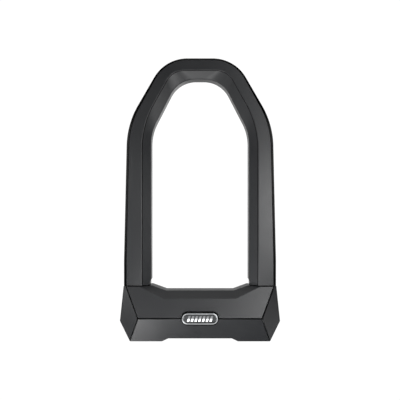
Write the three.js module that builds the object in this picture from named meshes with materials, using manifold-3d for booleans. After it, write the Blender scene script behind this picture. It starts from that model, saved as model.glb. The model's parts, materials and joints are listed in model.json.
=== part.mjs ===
// A U lock: a faceted shackle whose two square legs stand in a wide faceted crossbar.
// Millimetres, +Z up, +X to the right, the front faces -Y. The origin is the middle of the crossbar's base.
// The lock is shown closed and unlocked: the shackle is seated and both bolts are drawn in.

import * as THREE from 'three';
import { mergeVertices } from 'three/addons/utils/BufferGeometryUtils.js';
import Module from 'manifold-3d';

const wasm = await Module();
wasm.setup();

// ---------- general fits ----------
const GAP = 0.3;
const OVERCUT = 1;
const FAR = 400;
const ROUND = 28;
const SMALL_ROUND = 16;
const OUTLINE_STEPS = 6;
const WELD = 1e-5;

// ---------- shackle outline, right half, from the foot to the middle of the top ----------
const SHOULDER_Z = 54.2;
const FOOT_Z = SHOULDER_Z + GAP;
const FOOT_NOTCH = { depth: 1.2, lowZ: 58.4, highZ: 59.9 };
const TAPER_Z = 80;
const OUTER = { legX: 76.5, bendX: 73.4, bendZ: 217, topX: 35.1, topZ: 283.2, bendR: 85, topR: 38.5 };
const EDGE = { legX: 58.3, bendX: 58.3, bendZ: 216.3, topX: 27.5, topZ: 270.5, bendR: 95, topR: 20 };
const INNER = { legX: 49.3, bendX: 49.3, bendZ: 208.7, topX: 21.5, topZ: 262.5, bendR: 49, topR: 28.6 };
const BAR_LINE = { legX: 60.4, bendX: 60.4, bendZ: 211.4, topX: 26.85, topZ: 271.8, bendR: 60, topR: 30 };
const BEND_STEPS = 8;

// ---------- shackle section ----------
const FRONT_Y = 14;
const OUTER_FLAT_Y = 9;
const INNER_FLAT_Y = 7.85;
const OUTER_BEVEL_RUN = 2.8;
const STRIP_THICK = 1.4;
const BAR_SIDE = 14;
const BAR_CHAMFER = 1.2;
const BAR_FOOT_Z = 14;
const NOTCH_DEPTH = 4.2;
const NOTCH_Z = [31, 38];

// ---------- crossbar envelope ----------
const RIDGE = { x: 60.9, y: 26, z: 24.4 };
const SHOULDER = { x: 73.7, y: 15.5 };
const FOOT_CORNER = { x: 69.9, y: 17 };
const FLANK = { x: 81.2, z: 18.4, topX: 76.8 };
const TROUGH = { x: 34.2, z: 49.1, sideX: 48.2, edgeX: 60, edgeY: 15.5, ridgeY: 19.36, ridgeZ: 43.1 };
const BASE_RECESS = { x: 31.5, footX: 37.8, z: 3.2 };
const WALL = 2.2;
const GROOVE = 1.25;

// ---------- hardened box and sockets ----------
const BOX = { x: 70.2, y: 13.5, lowZ: 8.5, highZ: 40.5, wall: 2.5 };
const END_PLATE = 2.3;
const SOCKET_HOLE = BAR_SIDE + 0.7;
const SLEEVE_SIDE = 19.6;
const SLEEVE_Z = [BOX.highZ + GAP, 49.8];
const SEAL = { side: 19.4, lowZ: 50.1, highZ: 54 };

// ---------- cylinder, key core and bolts ----------
const BARREL = { r: 9.2, bore: 7.5, lowZ: 7.6, highZ: 27.4, lip: 2, mouth: 5, slot: 8.6 };
const CORE = { r: 7.2, bore: 5.9, lowZ: 12.1, highZ: 27.1, rim: 1, roof: 2.1, tang: 3.4 };
const FRONT_DISC = { r: 7.2, lowZ: 9.9, highZ: 11.8 };
const DISC = { r: 5.6, thick: 1.6 };
const SPACER = { r: 5.6, bore: 4.2, thick: 0.7 };
const STACK_GAP = 0.2;
const KEYWAY = { long: 7, wide: 2.6 };
const DISC_CODES = [0, 36, 18, 54, 72];
const SIDEBAR = { wide: 1.6, inner: 4.6, outer: 7 };
const CAM = { r: 10.7, lowZ: 27.8, highZ: 31.1, startR: 4.6, slot: 1.25, steps: 16 };
const BOLT_TRAVEL = 4.2;
const KEY_TURN = Math.PI / 2;
const BOLT = { y: 5, lowZ: 31.5, highZ: 37.4, innerX: 1.4, tipX: 52.9, nose: 1.6, roof: 1, pinR: 0.95 };
const CARRIER = { x: 46, y: 10.7, lowZ: 11.3, highZ: 37.7, slotX: 14 };
const CROSS_PIN = { r: 1.5, x: 36, z: 22 };
const BARREL_PIN = { r: 1.2, x: 9.2, z: 17 };

// ---------- keyhole cover and fixings ----------
const HOOD = { x: 30, y: 14.5, highZ: 7.2, holeR: 6 };
const SLIDE = { travel: 17, x: 9, lipY: 8.5, railY: 11, lowZ: 3.5, stepZ: 4.3, highZ: 5.3 };
const GRIP = { start: 2, y: 5, wide: 0.8, deep: 0.5, pitch: 1.8, count: 3 };
const FIXING = { x: 50, head: 2.75, headZ: [0.5, 2.3], shank: 1.4, topZ: 10.6, boss: 4.4, recess: 3.1 };
const SOCKET_DRIVE = { r: 1.1, deep: 1.1, sides: 6 };

// ---------- badge ----------
const BADGE = { z: 24.4, width: 35, height: 10.6, frontY: 27, backY: 24, floor: 0.8, rim: 1.3, fieldY: 26.4 };
const BADGE_RING = { width: 37.2, height: 12.8, frontY: 26.4, backY: 24.2 };
const BADGE_MARK = { count: 7, wide: 2, tall: 5.4, lean: 1.5, pitch: 3.65, proud: 0.35 };

// ---------- materials ----------
function material(color, roughness, metalness) {
  return new THREE.MeshStandardMaterial({ color, roughness, metalness });
}
const PLASTIC = () => material(0x3a3d40, 0.5, 0.1);
const BLACK_PLASTIC = () => material(0x0b0b0c, 0.4, 0);
const RUBBER = () => material(0x141414, 0.8, 0);
const HARD_STEEL = () => material(0x6d7074, 0.4, 1);
const ZINC_STEEL = () => material(0x9a9da0, 0.35, 1);
const BRASS = () => material(0xb08d4a, 0.35, 1);
const CHROME = () => material(0xd8dadd, 0.12, 1);
const GREY_METAL = () => material(0x86898c, 0.35, 0.8);

// ---------- solids ----------
function solid(geometry) {
  const bare = geometry.clone();
  bare.deleteAttribute('normal');
  bare.deleteAttribute('uv');
  const merged = mergeVertices(bare, WELD);
  const vertProperties = new Float32Array(merged.attributes.position.array);
  const triVerts = new Uint32Array(merged.index.array);
  return new wasm.Manifold(new wasm.Mesh({ numProp: 3, vertProperties, triVerts }));
}

function meshOf(name, shape, look) {
  const result = shape.getMesh();
  const geometry = new THREE.BufferGeometry();
  geometry.setAttribute('position', new THREE.BufferAttribute(result.vertProperties, 3));
  geometry.setIndex(new THREE.BufferAttribute(result.triVerts, 1));
  geometry.computeVertexNormals();
  const mesh = new THREE.Mesh(geometry, look);
  mesh.name = name;
  return mesh;
}

function box(low, high) {
  const size = high.map((value, axis) => value - low[axis]);
  const geometry = new THREE.BoxGeometry(...size);
  geometry.translate(...high.map((value, axis) => (value + low[axis]) / 2));
  return solid(geometry);
}

function upright(radius, lowZ, highZ, x = 0, y = 0, segments = ROUND) {
  const geometry = new THREE.CylinderGeometry(radius, radius, highZ - lowZ, segments);
  geometry.rotateX(Math.PI / 2);
  geometry.translate(x, y, (lowZ + highZ) / 2);
  return solid(geometry);
}

function crosswise(radius, halfLength, x, z) {
  const geometry = new THREE.CylinderGeometry(radius, radius, 2 * halfLength, SMALL_ROUND);
  geometry.translate(x, 0, z);
  return solid(geometry);
}

// A flat outline in X and Y, pushed up from lowZ to highZ.
function plate(shape, lowZ, highZ, curveSegments = OUTLINE_STEPS) {
  const settings = { depth: highZ - lowZ, bevelEnabled: false, curveSegments };
  const geometry = new THREE.ExtrudeGeometry(shape, settings);
  geometry.translate(0, 0, lowZ);
  return solid(geometry);
}

// A flat outline in X and Z, pushed from y = backY towards the front at y = frontY.
function frontPlate(shape, frontY, backY, curveSegments = OUTLINE_STEPS) {
  const settings = { depth: backY - frontY, bevelEnabled: false, curveSegments };
  const geometry = new THREE.ExtrudeGeometry(shape, settings);
  geometry.rotateX(Math.PI / 2);
  geometry.translate(0, backY, 0);
  return solid(geometry);
}

function polygon(points) {
  return new THREE.Shape(points.map(([x, y]) => new THREE.Vector2(x, y)));
}

// Everything on the outer side of a plane through a point.
function beyond(point, normal) {
  const geometry = new THREE.BoxGeometry(FAR, FAR, FAR);
  geometry.translate(0, 0, FAR / 2);
  const turn = new THREE.Quaternion().setFromUnitVectors(new THREE.Vector3(0, 0, 1), normal);
  geometry.applyQuaternion(turn);
  geometry.translate(point.x, point.y, point.z);
  return solid(geometry);
}

// A plane through three points, with its normal turned away from a point inside the body.
function planeThrough(a, b, c, inside) {
  const toB = b.clone().sub(a);
  const toC = c.clone().sub(a);
  const normal = toB.cross(toC).normalize();
  if (normal.dot(inside.clone().sub(a)) > 0) {
    normal.negate();
  }
  return { point: a, normal };
}

function cutByPlanes(shape, planes, inset) {
  let result = shape;
  for (const { point, normal } of planes) {
    const moved = point.clone().addScaledVector(normal, -inset);
    result = result.subtract(beyond(moved, normal));
  }
  return result;
}

function vec(x, y, z) {
  return new THREE.Vector3(x, y, z);
}

function mirroredX(plane) {
  const flip = vec(-1, 1, 1);
  return { point: plane.point.clone().multiply(flip), normal: plane.normal.clone().multiply(flip) };
}

function mirroredY(plane) {
  const flip = vec(1, -1, 1);
  return { point: plane.point.clone().multiply(flip), normal: plane.normal.clone().multiply(flip) };
}

// ---------- shackle loft ----------

// The outline's corners moved towards the inside of the U by an inset.
function insetLine(line, inset) {
  const run = line.bendX - line.topX;
  const rise = line.topZ - line.bendZ;
  const length = Math.hypot(run, rise);
  const bendShift = inset * (length - run) / rise;
  const topShift = inset * (length - rise) / run;
  return {
    legX: line.legX - inset,
    bendX: line.bendX - inset,
    bendZ: line.bendZ - bendShift,
    topX: line.topX - topShift,
    topZ: line.topZ - inset,
    bendR: line.bendR - inset,
    topR: line.topR - inset,
  };
}

function filletPoints(before, corner, after, radius, steps) {
  const back = before.clone().sub(corner).normalize();
  const ahead = after.clone().sub(corner).normalize();
  const half = Math.acos(back.dot(ahead)) / 2;
  const tangent = radius / Math.tan(half);
  const centre = back.clone().add(ahead).normalize().multiplyScalar(radius / Math.sin(half)).add(corner);
  const start = back.clone().multiplyScalar(tangent).add(corner).sub(centre);
  const end = ahead.clone().multiplyScalar(tangent).add(corner).sub(centre);
  const sweep = Math.atan2(start.x * end.y - start.y * end.x, start.dot(end));
  return Array.from({ length: steps + 1 }, (_, step) =>
    start.clone().rotateAround(new THREE.Vector2(), (sweep * step) / steps).add(centre));
}

// Points of one whole U line in X and Z, from the right foot over the top to the left foot.
function uLine(line, footZ, footShift = 0) {
  const leg = new THREE.Vector2(line.legX, TAPER_Z);
  const bend = new THREE.Vector2(line.bendX, line.bendZ);
  const shoulder = new THREE.Vector2(line.topX, line.topZ);
  const middle = new THREE.Vector2(0, line.topZ);
  const right = [
    new THREE.Vector2(line.legX + footShift, footZ),
    new THREE.Vector2(line.legX + footShift, Math.max(FOOT_NOTCH.lowZ, footZ + GAP)),
    new THREE.Vector2(line.legX, FOOT_NOTCH.highZ),
    leg,
    ...filletPoints(leg, bend, shoulder, line.bendR, BEND_STEPS),
    ...filletPoints(bend, shoulder, middle, line.topR, BEND_STEPS),
  ];
  const left = right.map((point) => new THREE.Vector2(-point.x, point.y)).reverse();
  return [...right, ...left];
}

// A closed body whose section's corners each follow their own U line at their own depth.
function uLoft(corners) {
  const rings = corners[0].line.length;
  const count = corners.length;
  const positions = [];
  for (let ring = 0; ring < rings; ring += 1) {
    for (const { line, y } of corners) {
      positions.push(line[ring].x, y, line[ring].y);
    }
  }
  const index = [];
  for (let ring = 0; ring + 1 < rings; ring += 1) {
    for (let corner = 0; corner < count; corner += 1) {
      const next = (corner + 1) % count;
      const a = ring * count + corner;
      const b = ring * count + next;
      const c = (ring + 1) * count + next;
      const d = (ring + 1) * count + corner;
      index.push(a, b, c, a, c, d);
    }
  }
  const section = corners.map(({ line, y }) => new THREE.Vector2(line[0].x, y));
  const last = (rings - 1) * count;
  for (const [a, b, c] of THREE.ShapeUtils.triangulateShape(section, [])) {
    index.push(a, c, b);
    index.push(last + a, last + b, last + c);
  }
  const geometry = new THREE.BufferGeometry();
  geometry.setAttribute('position', new THREE.Float32BufferAttribute(positions, 3));
  geometry.setIndex(index);
  return solid(geometry);
}

// The same corners on the front and, in reverse order, on the back.
function bothSides(corners) {
  const front = corners.map(({ line, y }) => ({ line, y: -y }));
  return [...front, ...corners.slice().reverse()];
}

// How far a bevel's two corners slide along their flats when the whole skin moves in by one millimetre.
function bevelSlides(run, depth) {
  const lean = Math.atan2(run, depth);
  return { side: Math.tan(lean / 2), front: Math.tan((Math.PI / 2 - lean) / 2) };
}

const OUTER_BEVEL_DEPTH = FRONT_Y - OUTER_FLAT_Y;
const OUTER_SLIDES = bevelSlides(OUTER_BEVEL_RUN, OUTER_BEVEL_DEPTH);

function shackleBar() {
  const half = BAR_SIDE / 2;
  const shift = (inset) => uLine(insetLine(BAR_LINE, inset), BAR_FOOT_Z);
  return uLoft(bothSides([
    { line: shift(half), y: half - BAR_CHAMFER },
    { line: shift(half - BAR_CHAMFER), y: half },
    { line: shift(BAR_CHAMFER - half), y: half },
    { line: shift(-half), y: half - BAR_CHAMFER },
  ]));
}

function barSpace(clearance) {
  const half = BAR_SIDE / 2 + clearance;
  const shift = (inset) => uLine(insetLine(BAR_LINE, inset), BAR_FOOT_Z - OVERCUT);
  return uLoft(bothSides([
    { line: shift(half), y: half },
    { line: shift(-half), y: half },
  ]));
}

function boltNotches() {
  const innerX = BAR_LINE.legX - BAR_SIDE / 2;
  const right = box([innerX - OVERCUT, -FRONT_Y, NOTCH_Z[0]], [innerX + NOTCH_DEPTH, FRONT_Y, NOTCH_Z[1]]);
  const left = box([-innerX - NOTCH_DEPTH, -FRONT_Y, NOTCH_Z[0]], [-innerX + OVERCUT, FRONT_Y, NOTCH_Z[1]]);
  return right.add(left);
}

// The black strip wraps the outer flat and both of its bevels.
function edgeStrip() {
  const at = (inset) => uLine(insetLine(OUTER, inset), FOOT_Z);
  const innerY = OUTER_FLAT_Y - OUTER_SLIDES.side * STRIP_THICK;
  const slope = OUTER_BEVEL_DEPTH / OUTER_BEVEL_RUN;
  const endY = innerY + (OUTER_BEVEL_RUN - STRIP_THICK) * slope;
  return uLoft(bothSides([
    { line: at(STRIP_THICK), y: innerY },
    { line: at(OUTER_BEVEL_RUN), y: endY },
    { line: at(OUTER_BEVEL_RUN), y: FRONT_Y },
    { line: at(0), y: OUTER_FLAT_Y },
  ]));
}

function shackleJacket() {
  const outer = (inset) => uLine(insetLine(OUTER, inset), FOOT_Z);
  const under = STRIP_THICK + GAP;
  const borderRun = OUTER_BEVEL_RUN + GAP;
  const underY = OUTER_FLAT_Y - OUTER_SLIDES.side * under;
  const slope = OUTER_BEVEL_DEPTH / OUTER_BEVEL_RUN;
  const stepY = underY + (borderRun - under) * slope;
  const body = uLoft(bothSides([
    { line: uLine(INNER, FOOT_Z, FOOT_NOTCH.depth), y: INNER_FLAT_Y },
    { line: uLine(EDGE, FOOT_Z), y: FRONT_Y },
    { line: outer(borderRun), y: FRONT_Y },
    { line: outer(borderRun), y: stepY },
    { line: outer(under), y: underY },
  ]));
  return body.subtract(barSpace(GAP));
}

// ---------- crossbar envelope ----------
const HEART = vec(0, 0, RIDGE.z);
const RIDGE_END = vec(RIDGE.x, -RIDGE.y, RIDGE.z);
const SHOULDER_POINT = vec(SHOULDER.x, -SHOULDER.y, SHOULDER_Z);
const FOOT_POINT = vec(FOOT_CORNER.x, -FOOT_CORNER.y, 0);

function envelopePlanes() {
  const upper = planeThrough(RIDGE_END, SHOULDER_POINT, vec(0, -RIDGE.y, RIDGE.z), HEART);
  const lower = planeThrough(RIDGE_END, FOOT_POINT, vec(0, -RIDGE.y, RIDGE.z), HEART);
  const diamond = planeThrough(RIDGE_END, SHOULDER_POINT, FOOT_POINT, HEART);
  const flankAt = vec(FLANK.x, 0, FLANK.z);
  const flankBack = vec(FLANK.x, 1, FLANK.z);
  const flankTop = planeThrough(flankAt, flankBack, vec(FLANK.topX, 0, SHOULDER_Z), HEART);
  const flankLow = planeThrough(flankAt, flankBack, vec(FOOT_CORNER.x, 0, 0), HEART);
  return [
    upper, mirroredY(upper), lower, mirroredY(lower),
    diamond, mirroredX(diamond), mirroredY(diamond), mirroredX(mirroredY(diamond)),
    flankTop, mirroredX(flankTop), flankLow, mirroredX(flankLow),
    { point: vec(0, 0, 0), normal: vec(0, 0, -1) },
    { point: vec(0, 0, SHOULDER_Z), normal: vec(0, 0, 1) },
  ];
}

// The middle of the trough between the legs: a flat with a bevel in front of it and behind it.
function troughPlanes() {
  const corner = vec(TROUGH.x, -INNER_FLAT_Y, TROUGH.z);
  const middle = vec(0, -INNER_FLAT_Y, TROUGH.z);
  const ridge = vec(0, -TROUGH.ridgeY, TROUGH.ridgeZ);
  const bevel = planeThrough(corner, middle, ridge, HEART);
  return [{ point: vec(0, 0, TROUGH.z), normal: vec(0, 0, 1) }, bevel, mirroredY(bevel)];
}

// The trough's right end, which rises to the leg, with its own bevels.
function risePlanes() {
  const start = vec(TROUGH.x, -INNER_FLAT_Y, TROUGH.z);
  const end = vec(TROUGH.sideX, -INNER_FLAT_Y, SHOULDER_Z);
  const below = vec(RIDGE.x, 0, RIDGE.z);
  const slope = planeThrough(start, end, vec(TROUGH.x, 0, TROUGH.z), below);
  const bevel = planeThrough(start, end, vec(TROUGH.edgeX, -TROUGH.edgeY, SHOULDER_Z), below);
  return [slope, bevel, mirroredY(bevel)];
}

function baseRecess(inset) {
  const top = BASE_RECESS.z + inset;
  const slide = inset * bevelSlides(BASE_RECESS.z, BASE_RECESS.footX - BASE_RECESS.x).side;
  const outline = [
    [-BASE_RECESS.footX - slide, -OVERCUT],
    [BASE_RECESS.footX + slide, -OVERCUT],
    [BASE_RECESS.footX + slide, inset],
    [BASE_RECESS.x + slide, top],
    [-BASE_RECESS.x - slide, top],
    [-BASE_RECESS.footX - slide, inset],
  ];
  return frontPlate(polygon(outline), -FAR / 4, FAR / 4);
}

function crossbarSolid(inset) {
  const block = box([-FAR / 4, -FAR / 4, -FAR / 4], [FAR / 4, FAR / 4, FAR / 4]);
  const hull = cutByPlanes(block, envelopePlanes(), inset);
  const middle = cutByPlanes(hull, troughPlanes(), inset);
  const right = cutByPlanes(hull, risePlanes(), inset);
  const left = cutByPlanes(hull, risePlanes().map(mirroredX), inset);
  return middle.add(right).add(left).subtract(baseRecess(inset));
}

// ---------- seams ----------

// A square rod along an edge, turned so that one of its corners points into the body.
function seamGroove(from, to, outward) {
  const along = to.clone().sub(from);
  const geometry = new THREE.BoxGeometry(GROOVE, GROOVE, along.length());
  geometry.rotateZ(Math.PI / 4);
  const z = along.clone().normalize();
  const x = outward.clone().addScaledVector(z, -outward.dot(z)).normalize();
  const y = new THREE.Vector3().crossVectors(z, x);
  geometry.applyMatrix4(new THREE.Matrix4().makeBasis(x, y, z));
  const middle = from.clone().add(to).multiplyScalar(0.5);
  geometry.translate(middle.x, middle.y, middle.z);
  return solid(geometry);
}

function cutSeamGrooves(shape) {
  let result = shape;
  for (const front of [1, -1]) {
    const depth = vec(1, front, 1);
    const ridgeEnd = RIDGE_END.clone().multiply(depth);
    const otherEnd = ridgeEnd.clone().multiply(vec(-1, 1, 1));
    result = result.subtract(seamGroove(otherEnd, ridgeEnd, vec(0, -front, 0)));
    for (const side of [1, -1]) {
      const place = vec(side, front, 1);
      const outward = vec(side, -2 * front, 0);
      const corner = RIDGE_END.clone().multiply(place);
      result = result.subtract(seamGroove(corner, SHOULDER_POINT.clone().multiply(place), outward));
      result = result.subtract(seamGroove(corner, FOOT_POINT.clone().multiply(place), outward));
    }
  }
  return result;
}

// The outline, seen from the front, of what one cover keeps: its seams are flat cuts from front to back.
function coverRegion(above) {
  const sign = above ? 1 : -1;
  const end = above ? SHOULDER : FOOT_CORNER;
  const endZ = above ? SHOULDER_Z : 0;
  const reach = (end.x - RIDGE.x) / Math.abs(endZ - RIDGE.z);
  const farZ = FAR / 4;
  const farX = RIDGE.x + reach * farZ;
  const clear = GAP / 2;
  const points = [
    [-RIDGE.x + clear, RIDGE.z + sign * clear],
    [RIDGE.x - clear, RIDGE.z + sign * clear],
    [farX - clear, RIDGE.z + sign * farZ],
    [-farX + clear, RIDGE.z + sign * farZ],
  ];
  return frontPlate(polygon(above ? points : points.reverse()), -FAR / 4, FAR / 4);
}

function capRegion(side) {
  const clear = GAP / 2;
  const farZ = FAR / 4;
  const up = (SHOULDER.x - RIDGE.x) / (SHOULDER_Z - RIDGE.z);
  const down = (FOOT_CORNER.x - RIDGE.x) / RIDGE.z;
  const right = [
    [RIDGE.x + clear, RIDGE.z],
    [RIDGE.x + clear + down * farZ, RIDGE.z - farZ],
    [FAR / 2, RIDGE.z - farZ],
    [FAR / 2, RIDGE.z + farZ],
    [RIDGE.x + clear + up * farZ, RIDGE.z + farZ],
  ];
  const points = side > 0 ? right : right.map(([x, z]) => [-x, z]).reverse();
  return frontPlate(polygon(points), -FAR / 4, FAR / 4);
}

function stadium(width, height, centreZ) {
  const r = height / 2;
  const straight = width / 2 - r;
  const shape = new THREE.Shape();
  shape.moveTo(-straight, centreZ - r);
  shape.lineTo(straight, centreZ - r);
  shape.absarc(straight, centreZ, r, -Math.PI / 2, Math.PI / 2, false);
  shape.lineTo(-straight, centreZ + r);
  shape.absarc(-straight, centreZ, r, Math.PI / 2, (3 * Math.PI) / 2, false);
  return shape;
}

function badgePocket() {
  const margin = 2 * GAP;
  const outline = stadium(BADGE_RING.width + margin, BADGE_RING.height + margin, BADGE.z);
  return frontPlate(outline, -RIDGE.y - OVERCUT, -BADGE.backY + GAP + OVERCUT);
}

function squareHole(side, lowZ, highZ, x) {
  const half = side / 2;
  return box([x - half, -half, lowZ], [x + half, half, highZ]);
}

const SHELL = cutSeamGrooves(crossbarSolid(0).subtract(crossbarSolid(WALL))).subtract(badgePocket());

function upperCover() {
  let cover = SHELL.intersect(coverRegion(true));
  for (const side of [1, -1]) {
    const hole = squareHole(SEAL.side + 2 * GAP, SLEEVE_Z[0], SHOULDER_Z + OVERCUT, side * BAR_LINE.legX);
    cover = cover.subtract(hole);
  }
  return cover;
}

function lowerCover() {
  let cover = SHELL.intersect(coverRegion(false));
  const hoodLow = BASE_RECESS.z + OVERCUT / 2;
  cover = cover.add(box([-HOOD.x, -HOOD.y, hoodLow], [HOOD.x, HOOD.y, HOOD.highZ]));
  const pocketStart = -SLIDE.x - GAP;
  const pocketEnd = SLIDE.x + SLIDE.travel + GAP;
  const windowY = SLIDE.lipY + GAP;
  const railY = SLIDE.railY + GAP;
  cover = cover.subtract(box([pocketStart, -windowY, 0], [pocketEnd, windowY, SLIDE.stepZ]));
  const railLow = SLIDE.stepZ - GAP;
  cover = cover.subtract(box([pocketStart, -railY, railLow], [pocketEnd, railY, SLIDE.highZ + GAP]));
  cover = cover.subtract(upright(HOOD.holeR, 0, HOOD.highZ + OVERCUT));
  for (const side of [1, -1]) {
    const x = side * FIXING.x;
    cover = cover.add(upright(FIXING.boss, WALL / 2, BOX.lowZ - GAP, x));
    cover = cover.subtract(upright(FIXING.recess, -OVERCUT, FIXING.headZ[1] + GAP, x));
    cover = cover.subtract(upright(FIXING.shank + GAP, -OVERCUT, BOX.lowZ, x, 0, SMALL_ROUND));
  }
  return cover;
}

function endCap(side) {
  return SHELL.intersect(capRegion(side));
}

// ---------- hardened box ----------
function boxTube() {
  const { x, y, lowZ, highZ, wall } = BOX;
  let tube = box([-x, -y, lowZ], [x, y, highZ]);
  tube = tube.subtract(box([-x - OVERCUT, -y + wall, lowZ + wall], [x + OVERCUT, y - wall, highZ - wall]));
  tube = tube.subtract(upright(BARREL.r + GAP, lowZ - OVERCUT, lowZ + wall + OVERCUT));
  tube = tube.subtract(crosswise(BARREL_PIN.r + GAP, y + OVERCUT, BARREL_PIN.x, BARREL_PIN.z));
  for (const side of [1, -1]) {
    const legX = side * BAR_LINE.legX;
    tube = tube.subtract(squareHole(SOCKET_HOLE, highZ - wall - OVERCUT, highZ + OVERCUT, legX));
    tube = tube.subtract(upright(FIXING.shank + GAP, lowZ - OVERCUT, lowZ + wall + OVERCUT, side * FIXING.x));
    tube = tube.subtract(crosswise(CROSS_PIN.r + GAP, y + OVERCUT, side * CROSS_PIN.x, CROSS_PIN.z));
  }
  return tube;
}

function endPlate(side) {
  const halfY = BOX.y - BOX.wall - GAP;
  const near = BOX.x - END_PLATE;
  const low = Math.min(side * near, side * BOX.x);
  const high = Math.max(side * near, side * BOX.x);
  return box([low, -halfY, BOX.lowZ + BOX.wall + GAP], [high, halfY, BOX.highZ - BOX.wall - GAP]);
}

function squareRing(outer, inner, lowZ, highZ, x) {
  return squareHole(outer, lowZ, highZ, x).subtract(squareHole(inner, lowZ - OVERCUT, highZ + OVERCUT, x));
}

// ---------- cylinder ----------
function cylinderBarrel() {
  let barrel = upright(BARREL.r, BARREL.lowZ, BARREL.highZ);
  barrel = barrel.subtract(upright(BARREL.bore, BARREL.lowZ + BARREL.lip, BARREL.highZ + OVERCUT));
  barrel = barrel.subtract(upright(BARREL.mouth, BARREL.lowZ - OVERCUT, BARREL.lowZ + BARREL.lip + OVERCUT));
  const half = SIDEBAR.wide / 2 + GAP;
  barrel = barrel.subtract(box([-half, 0, CORE.lowZ], [half, BARREL.slot, BARREL.highZ + OVERCUT]));
  return barrel.subtract(crosswise(BARREL_PIN.r + GAP, BARREL.r + OVERCUT, BARREL_PIN.x, BARREL_PIN.z));
}

function lockCarrier() {
  const { x, y, lowZ, highZ, slotX } = CARRIER;
  let carrier = box([-x, -y, lowZ], [x, y, highZ]);
  carrier = carrier.subtract(upright(BARREL.r + GAP, lowZ - OVERCUT, CAM.highZ));
  const camLow = [-slotX, -y - OVERCUT, CAM.lowZ - GAP];
  carrier = carrier.subtract(box(camLow, [slotX, y + OVERCUT, CAM.highZ + GAP]));
  const channelY = BOLT.y + GAP;
  const channelLow = [-x - OVERCUT, -channelY, BOLT.lowZ - GAP];
  carrier = carrier.subtract(box(channelLow, [x + OVERCUT, channelY, highZ + OVERCUT]));
  carrier = carrier.subtract(crosswise(BARREL_PIN.r + GAP, y + OVERCUT, BARREL_PIN.x, BARREL_PIN.z));
  for (const side of [1, -1]) {
    carrier = carrier.subtract(crosswise(CROSS_PIN.r + GAP, y + OVERCUT, side * CROSS_PIN.x, CROSS_PIN.z));
  }
  return carrier;
}

// ---------- key core ----------
function keyPlug() {
  let plug = upright(CORE.r, CORE.lowZ, CORE.highZ);
  plug = plug.subtract(upright(CORE.bore, CORE.lowZ - OVERCUT, CORE.highZ - CORE.roof));
  const half = SIDEBAR.wide / 2 + STACK_GAP;
  const slotLow = [-half, 0, CORE.lowZ + CORE.rim];
  plug = plug.subtract(box(slotLow, [half, CORE.r + OVERCUT, CORE.highZ - CORE.roof]));
  const tang = CORE.tang / 2;
  return plug.add(box([-tang, -tang, CORE.highZ - CORE.roof / 2], [tang, tang, CAM.highZ]));
}

function keyway(lowZ, highZ, angle) {
  const half = [KEYWAY.long / 2, KEYWAY.wide / 2];
  const geometry = new THREE.BoxGeometry(2 * half[0], 2 * half[1], highZ - lowZ + 2 * OVERCUT);
  geometry.rotateZ(angle);
  geometry.translate(0, 0, (lowZ + highZ) / 2);
  return solid(geometry);
}

function codedDisc(lowZ, degrees) {
  const highZ = lowZ + DISC.thick;
  const disc = upright(DISC.r, lowZ, highZ);
  const gate = SIDEBAR.wide / 2 + STACK_GAP;
  const notchLow = [-gate, SIDEBAR.inner - STACK_GAP, lowZ - OVERCUT];
  const notch = box(notchLow, [gate, DISC.r + OVERCUT, highZ + OVERCUT]);
  return disc.subtract(notch).subtract(keyway(lowZ, highZ, THREE.MathUtils.degToRad(degrees)));
}

function discSpacer(lowZ) {
  const highZ = lowZ + SPACER.thick;
  const ring = upright(SPACER.r, lowZ, highZ).subtract(upright(SPACER.bore, lowZ - OVERCUT, highZ + OVERCUT));
  const gate = SIDEBAR.wide / 2 + STACK_GAP;
  return ring.subtract(box([-gate, 0, lowZ - OVERCUT], [gate, SPACER.r + OVERCUT, highZ + OVERCUT]));
}

function sideBar() {
  const half = SIDEBAR.wide / 2;
  const lowZ = CORE.lowZ + CORE.rim + STACK_GAP;
  const highZ = CORE.highZ - CORE.roof - STACK_GAP;
  return box([-half, SIDEBAR.inner, lowZ], [half, SIDEBAR.outer, highZ]);
}

// One spiral slot: its radius grows evenly with the key's turn, so the bolt moves evenly too.
function camSlot(turned) {
  const startTurn = -CAM.slot / CAM.startR;
  const endTurn = KEY_TURN + CAM.slot / (CAM.startR + BOLT_TRAVEL);
  const near = [];
  const far = [];
  for (let step = 0; step <= CAM.steps; step += 1) {
    const turn = THREE.MathUtils.lerp(startTurn, endTurn, step / CAM.steps);
    const radius = CAM.startR + (BOLT_TRAVEL * turn) / KEY_TURN;
    const angle = turned - turn;
    near.push([(radius - CAM.slot) * Math.cos(angle), (radius - CAM.slot) * Math.sin(angle)]);
    far.push([(radius + CAM.slot) * Math.cos(angle), (radius + CAM.slot) * Math.sin(angle)]);
  }
  return plate(polygon([...near, ...far.reverse()]), CAM.lowZ - OVERCUT, CAM.highZ + OVERCUT);
}

function driveCam() {
  let cam = upright(CAM.r, CAM.lowZ, CAM.highZ, 0, 0, 2 * ROUND);
  cam = cam.subtract(camSlot(0)).subtract(camSlot(Math.PI));
  return cam.subtract(squareHole(CORE.tang + 2 * GAP, CAM.lowZ - OVERCUT, CAM.highZ + OVERCUT, 0));
}

// ---------- bolts ----------
function bolt(side) {
  const { nose } = BOLT;
  const outline = [
    [BOLT.innerX, -BOLT.y],
    [BOLT.tipX - nose, -BOLT.y],
    [BOLT.tipX, -BOLT.y + nose],
    [BOLT.tipX, BOLT.y - nose],
    [BOLT.tipX - nose, BOLT.y],
    [BOLT.innerX, BOLT.y],
  ];
  const points = side > 0 ? outline : outline.map(([x, y]) => [-x, y]).reverse();
  const bar = plate(polygon(points), BOLT.lowZ, BOLT.highZ);
  const seatTop = BOLT.highZ - BOLT.roof;
  const seat = upright(BOLT.pinR + GAP, BOLT.lowZ - OVERCUT, seatTop, side * CAM.startR, 0, SMALL_ROUND);
  return bar.subtract(seat);
}

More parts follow.
